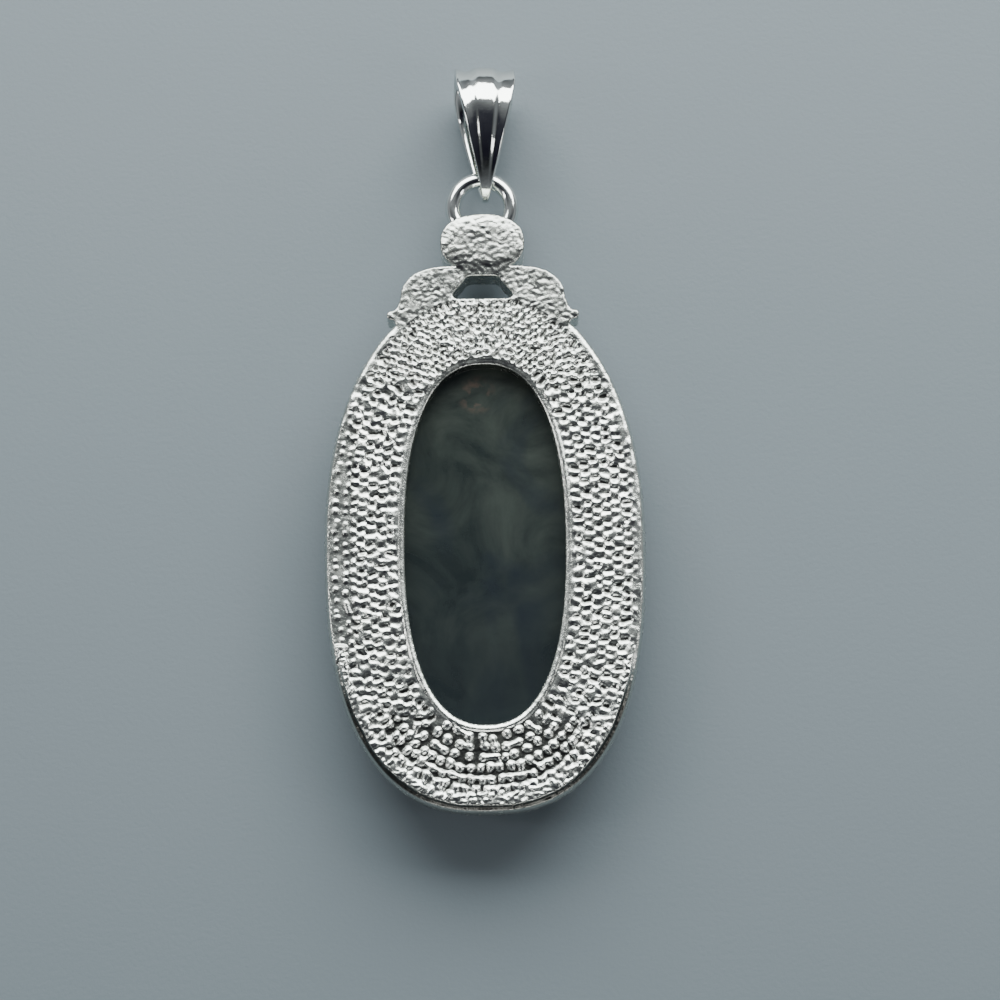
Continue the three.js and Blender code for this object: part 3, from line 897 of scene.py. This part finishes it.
def bail_half_path(steps, near=0.02):
    """Half of the bail's inner outline: the way along the bail and the half depth, with outward normals."""
    widest = FOLD_INNER - FOLD_LENGTH
    leaf = cubic([TIP_WALL, 0], [TIP_WALL, TIP_BLUNTNESS], [widest * LEAF_PULL, BAIL_DEPTH],
                 [widest, BAIL_DEPTH], 200)
    fold = cubic([widest, BAIL_DEPTH], [widest + FOLD_LENGTH * FOLD_SHOULDER, BAIL_DEPTH],
                 [FOLD_INNER, BAIL_DEPTH * FOLD_PULL], [FOLD_INNER, 0], 200)
    line = np.vstack([leaf, fold[1:]])
    run = run_along(line)
    at = (np.arange(steps) + 0.5) / steps * run[-1]
    spots = places_at(at, run, line)
    tangent = places_at(at + near, run, line) - places_at(at - near, run, line)
    tangent /= np.linalg.norm(tangent, axis=1)[:, None]
    return spots, np.stack([-tangent[:, 1], tangent[:, 0]], -1)


def sheet_rise(share):
    """A broad rounded ridge between two hollow flutes."""
    out = np.abs(share)
    flank = np.clip((out - RIDGE_FLAT) / (RIDGE_REACH - RIDGE_FLAT), 0, 1)
    ridge = RIDGE_RISE * (0.5 + 0.5 * np.cos(flank * math.pi)) - RIDGE_BOW * out**2
    edge = EDGE_RISE * np.clip((out - RIDGE_SHARE) / (1 - RIDGE_SHARE), 0, 1) ** 2
    return ridge + edge


def bail_section(spot, normal, side):
    """One closed section of the strip, with softly rounded edges."""
    taper = min(1.0, spot[0] / (BAIL_LENGTH - BAIL_FULL))
    half = (BAIL_TIP_WIDTH + (BAIL_WIDTH - BAIL_TIP_WIDTH) * taper) / 2
    stand = 2 * half / BAIL_WIDTH
    share = np.linspace(-1, 1, 45)
    thick = SHEET + sheet_rise(share) * stand**RISE_POWER * smoothstep(*FLAT_TIP, stand)
    soft = min(EDGE_ROUND, half * 0.5)
    inset = np.clip((np.abs(share) * half - (half - soft)) / soft, 0, 1)
    thick -= soft * (1 - np.sqrt(1 - inset**2)) * EDGE_ROUND_SHARE
    outer = np.column_stack([share * half, thick])
    inner = np.column_stack([np.linspace(1, -1, 13) * half, np.zeros(13)])
    inner[[0, -1], 1] = INNER_CHAMFER
    profile = np.vstack([outer, inner])
    y = spot[0] + normal[0] * profile[:, 1]
    z = (spot[1] + normal[1] * profile[:, 1]) * side
    return np.column_stack([profile[:, 0], y, z])


def make_bail():
    steps = 90
    spots, normals = bail_half_path(steps)
    sections = [bail_section(spots[i], normals[i], 1) for i in range(steps)]
    sections += [bail_section(spots[i], normals[i], -1) for i in reversed(range(steps))]
    tip_y = (RING_LOW[1] + RING_HIGH[1]) / 2 + RING_RADIUS - WIRE - TIP_GAP - TIP_WALL
    c, s = math.cos(BAIL_ROLL), math.sin(BAIL_ROLL)
    placed = []
    for section in sections:
        x, y, z = section.T
        placed.append(np.column_stack([c * x + s * z + BAIL_SHIFT, y + tip_y, c * z - s * x + LINK_HEIGHT]))
    lowest = min(section[:, 2].min() for section in placed)
    placed = [section - [0, 0, min(lowest, 0)] for section in placed]
    return lofted("bail_polished", placed, True)


# The stone


# The stone's upper edge: how far in and how far below its back each ring lies.
STONE_EDGE = ((0, 0.3), (0.09, 0.09), (0.3, 0), (0.6, 0))


def make_stone():
    """A flat sawn back with a small chamfer, an upright girdle, and a polished dome with a flat spot."""
    turns = np.arange(180) / 180
    outline = band_point(turns, np.full(len(turns), SEAT - SEAT_GAP))
    flat = math.acos(FLAT_SPOT_HALF / STONE_HIGH[0])
    rings = []
    for angle in np.linspace(flat, 0, 30):
        height = GIRDLE_HEIGHT * (math.sin(flat) - math.sin(angle)) / math.sin(flat)
        rings.append(np.column_stack([outline * math.cos(angle), np.full(len(turns), height)]))
    top = STONE_HIGH[2]
    for inset, drop in STONE_EDGE:
        scale = 1 - inset / STONE_HIGH[0]
        rings.append(np.column_stack([outline * scale, np.full(len(turns), top - drop)]))
    rings = [ring + [0, OVAL_Y, 0] for ring in rings]
    return lofted("labradorite_polished", rings, False)


# Materials


class Nodes:
    """A short way to build one material's nodes."""

    def __init__(self, name):
        self.material = bpy.data.materials.new(name)
        self.material.use_nodes = True
        self.tree = self.material.node_tree
        self.shader = self.tree.nodes["Principled BSDF"]

    @classmethod
    def over(cls, tree):
        """The same short way for a world's node tree."""
        nodes = cls.__new__(cls)
        nodes.tree = tree
        return nodes

    def add(self, kind, inputs=(), **settings):
        node = self.tree.nodes.new(kind)
        for key, value in settings.items():
            setattr(node, key, value)
        for key, value in dict(inputs).items():
            if isinstance(value, bpy.types.NodeSocket):
                self.tree.links.new(value, node.inputs[key])
            else:
                node.inputs[key].default_value = value
        return node

    def coordinates(self):
        return self.add("ShaderNodeTexCoord").outputs["Object"]

    def noise(self, scale, detail=3.0, roughness=0.55, distortion=0.0):
        at = self.coordinates()
        sizes = {"Vector": at, "Scale": scale, "Detail": detail, "Roughness": roughness}
        sizes["Distortion"] = distortion
        return self.add("ShaderNodeTexNoise", sizes).outputs["Fac"]

    def ranged(self, value, from_low, from_high, to_low, to_high):
        limits = {"Value": value, "From Min": from_low, "From Max": from_high}
        limits |= {"To Min": to_low, "To Max": to_high}
        return self.add("ShaderNodeMapRange", limits).outputs["Result"]

    def mixed(self, share, a, b, blend="MIX"):
        node = self.add("ShaderNodeMix", data_type="RGBA", blend_type=blend)
        for socket, value in ((node.inputs[0], share), (node.inputs[6], a), (node.inputs[7], b)):
            if isinstance(value, bpy.types.NodeSocket):
                self.tree.links.new(value, socket)
            else:
                socket.default_value = value
        return node.outputs[2]

    def ramp(self, value, stops):
        node = self.add("ShaderNodeValToRGB", {"Fac": value})
        elements = node.color_ramp.elements
        for element, (position, colour) in zip(elements, (stops[0], stops[-1])):
            element.position, element.color = position, (*colour, 1)
        for position, colour in stops[1:-1]:
            elements.new(position).color = (*colour, 1)
        return node.outputs["Color"]

    def bump(self, height, distance):
        sizes = {"Height": height, "Distance": distance, "Strength": 1.0}
        return self.add("ShaderNodeBump", sizes).outputs["Normal"]

    def feed(self, **links):
        for key, value in links.items():
            name = key.replace("_", " ")
            if isinstance(value, bpy.types.NodeSocket):
                self.tree.links.new(value, self.shader.inputs[name])
            else:
                self.shader.inputs[name].default_value = value


def cast_silver():
    nodes = Nodes("cast_silver")
    unshaded = nodes.add("ShaderNodeAttribute", attribute_name="unshaded").outputs["Fac"]
    tone = nodes.noise(900, 2.0)
    # Painted shade: the hollows of the back, and in part the walls and front, are mixed towards this
    # near-black colour.
    shade_colour = nodes.mixed(tone, (0.015, 0.015, 0.013, 1), (0.12, 0.12, 0.11, 1))
    bright = nodes.mixed(nodes.noise(350, 2.0), (0.74, 0.77, 0.72, 1), (0.85, 0.865, 0.795, 1))
    nodes.feed(Metallic=1.0, Base_Color=nodes.mixed(unshaded, shade_colour, bright))
    nodes.feed(Roughness=nodes.ranged(nodes.noise(1500, 3.0), 0.3, 0.7, 0.16, 0.3))
    nodes.feed(Normal=nodes.bump(nodes.noise(3500, 4.0, 0.6), 0.00003))
    return nodes.material


def bright_silver():
    nodes = Nodes("bright_silver")
    tone = nodes.mixed(nodes.noise(400), (0.72, 0.74, 0.71, 1), (0.8, 0.81, 0.78, 1))
    nodes.feed(Metallic=1.0, Base_Color=tone)
    nodes.feed(Roughness=nodes.ranged(nodes.noise(900, 4.0), 0.3, 0.7, 0.05, 0.13))
    nodes.feed(Normal=nodes.bump(nodes.noise(700, 3.0), 0.00002))
    return nodes.material


# The play of colour on the polished dome, which faces the floor.
FLASH_STOPS = [(0.34, (0.012, 0.016, 0.017)), (0.44, (0.016, 0.032, 0.045)), (0.51, (0.01, 0.07, 0.2)),
               (0.57, (0.015, 0.16, 0.26)), (0.62, (0.07, 0.15, 0.07)), (0.7, (0.02, 0.025, 0.024))]


# The painted reddish sparkle near the top of the stone's back, and the heights above the floor between which
# the dull back gives way to the dome.
PATCH_X, PATCH_Y, PATCH_RADIUS = -0.6, 13.2, 1.8
DULL_DOWN_TO, DOME_BELOW = 4.0, 3.0


def labradorite():
    nodes = Nodes("labradorite")
    cloud = nodes.ranged(nodes.noise(160, 6.0, 0.62, 0.6), 0.35, 0.68, 0, 1)
    blue = nodes.ranged(nodes.noise(85, 3.0, 0.5, 1.2), 0.5, 0.72, 0, 1)
    place = nodes.add("ShaderNodeSeparateXYZ", {"Vector": nodes.coordinates()}).outputs
    dull = nodes.mixed(cloud, (0.006, 0.01, 0.009, 1), (0.034, 0.042, 0.035, 1))
    dull = nodes.mixed(blue, dull, (0.007, 0.011, 0.017, 1))
    # Painted shade: towards its bottom, away from the light, the stone's back is mixed towards a darker,
    # bluer colour.
    along = nodes.ranged(place["Y"], (OVAL_Y + 14) * MM, (OVAL_Y - 14) * MM, 0, 0.75)
    dull = nodes.mixed(along, dull, (0.006, 0.009, 0.012, 1))
    # A painted reddish sparkle near the top of the stone's back, where it catches the light: a noisy patch
    # round one spot.
    patch = {0: nodes.coordinates(), 1: (PATCH_X * MM, (OVAL_Y + PATCH_Y) * MM, STONE_HIGH[2] * MM)}
    patch = nodes.add("ShaderNodeVectorMath", patch, operation="DISTANCE").outputs["Value"]
    patch = nodes.ranged(patch, 0.0, PATCH_RADIUS * MM, 0.5, 0)
    sparkle_mask = nodes.ranged(nodes.noise(900, 4.0), 0.48, 0.62, 0, 1)
    dull = nodes.mixed(nodes.add("ShaderNodeMath", {0: patch, 1: sparkle_mask}, operation="MULTIPLY").outputs[0],
                       dull, (0.16, 0.085, 0.06, 1))
    dome = nodes.ranged(place["Z"], DULL_DOWN_TO * MM, DOME_BELOW * MM, 0, 1)
    flash = nodes.ramp(nodes.noise(60, 4.0, 0.55, 1.6), FLASH_STOPS)
    nodes.feed(Base_Color=nodes.mixed(dome, dull, flash))
    nodes.feed(Roughness=nodes.ranged(dome, 0, 1, 0.22, 0.08), IOR=1.45)
    nodes.feed(Normal=nodes.bump(nodes.noise(1200, 5.0, 0.6), 0.00001))
    return nodes.material


# Floor, lights and camera


# The room's light by direction: from the near side to the far side, and from the horizon to overhead.
FAR_STOPS = [(0.3, (0.01, 0.01, 0.018)), (0.52, (0.035, 0.037, 0.05)), (0.61, (0.17, 0.18, 0.19)),
             (0.78, (0.44, 0.48, 0.51)), (0.93, (0.4, 0.44, 0.47)), (1.0, (0.12, 0.13, 0.14))]
LOW_STOPS = [(0.0, (0.1, 0.11, 0.12)), (0.25, (0.3, 0.32, 0.34)), (0.45, (0.3, 0.32, 0.34)),
             (0.7, (0.12, 0.13, 0.14)), (0.88, (0.0, 0.0, 0.0))]


def make_floor():
    bpy.ops.mesh.primitive_plane_add(size=3.0, location=(0, 0, 0))
    floor = bpy.context.object
    floor.name = "floor"
    nodes = Nodes("pale_floor")
    nodes.feed(Base_Color=nodes.mixed(nodes.noise(30), (0.109, 0.135, 0.151, 1), (0.119, 0.145, 0.161, 1)))
    nodes.feed(Roughness=0.6)
    nodes.feed(Normal=nodes.bump(nodes.noise(2500, 4.0), 0.00002))
    add_material(floor, nodes.material)


def area_light(name, place, aim, size, power, colour):
    light = bpy.data.lights.new(name, "AREA")
    light.shape, light.size, light.size_y = "RECTANGLE", *size
    light.energy, light.color = power, colour
    obj = bpy.data.objects.new(name, light)
    bpy.context.scene.collection.objects.link(obj)
    obj.location = place
    obj.rotation_euler = (Vector(aim) - Vector(place)).to_track_quat("-Z", "Y").to_euler()


def make_lights():
    """A wide soft light beyond the bail, weak narrow ones at the other three sides, and a dim room."""
    area_light("window_light", (0.02, 0.244, 0.204), (0, 0, 0), (0.53, 0.24), 4.15, (0.955, 1.0, 0.99))
    area_light("near_light", (0.04, -0.3, 0.1), (0, 0, 0), (0.4, 0.05), 0.35, (1.0, 1.0, 1.0))
    area_light("left_light", (-0.3, -0.02, 0.22), (0, 0, 0), (0.05, 0.2), 0.25, (1.0, 1.0, 1.0))
    area_light("right_light", (0.28, -0.08, 0.18), (0, 0, 0), (0.05, 0.2), 0.14, (1.0, 1.0, 1.0))
    world = bpy.data.worlds.new("room")
    world.use_nodes = True
    nodes = Nodes.over(world.node_tree)
    direction = nodes.add("ShaderNodeTexCoord").outputs["Generated"]
    at = nodes.add("ShaderNodeSeparateXYZ", {0: direction}).outputs
    along = nodes.ranged(at["Y"], -1, 1, 0, 1)
    far = nodes.ramp(along, FAR_STOPS)
    low = nodes.ramp(at["Z"], LOW_STOPS)
    tree = world.node_tree
    tree.links.new(nodes.mixed(1.0, far, low, "LIGHTEN"), tree.nodes["Background"].inputs[0])
    bpy.context.scene.world = world


def make_camera():
    """Above the back, leaning towards the bottom of the pendant, as the photograph was taken."""
    distance, lean, roll = 0.300, math.radians(12), math.radians(0.6)
    aim = Vector((1.3 * MM, (OVAL_Y + 3.6) * MM, BACK * MM))
    camera = bpy.data.cameras.new("camera")
    camera.lens, camera.sensor_width = 128, 36
    camera.clip_start = 0.01
    obj = bpy.data.objects.new("camera", camera)
    bpy.context.scene.collection.objects.link(obj)
    obj.matrix_world = (
        Matrix.Translation(aim)
        @ Matrix.Rotation(lean, 4, "X")
        @ Matrix.Rotation(-roll, 4, "Z")
        @ Matrix.Translation((0, 0, distance))
    )
    bpy.context.scene.camera = obj


def main():
    make_camera()
    make_floor()
    make_lights()
    setting = make_setting()
    cut_ring_channel(setting)
    bright = bright_silver()
    ring = lofted("jump_ring_polished", ring_rings(WIRE), True)
    made = {
        "setting": (setting, cast_silver(), "cast_silver"),
        "labradorite": (make_stone(), labradorite(), "labradorite"),
        "jump_ring": (ring, bright, "bright_silver"),
        "bail": (make_bail(), bright, "bright_silver"),
    }
    for node, (piece, material, slot) in made.items():
        add_material(piece, material)
        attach(piece, "root")
        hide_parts(node)


main()
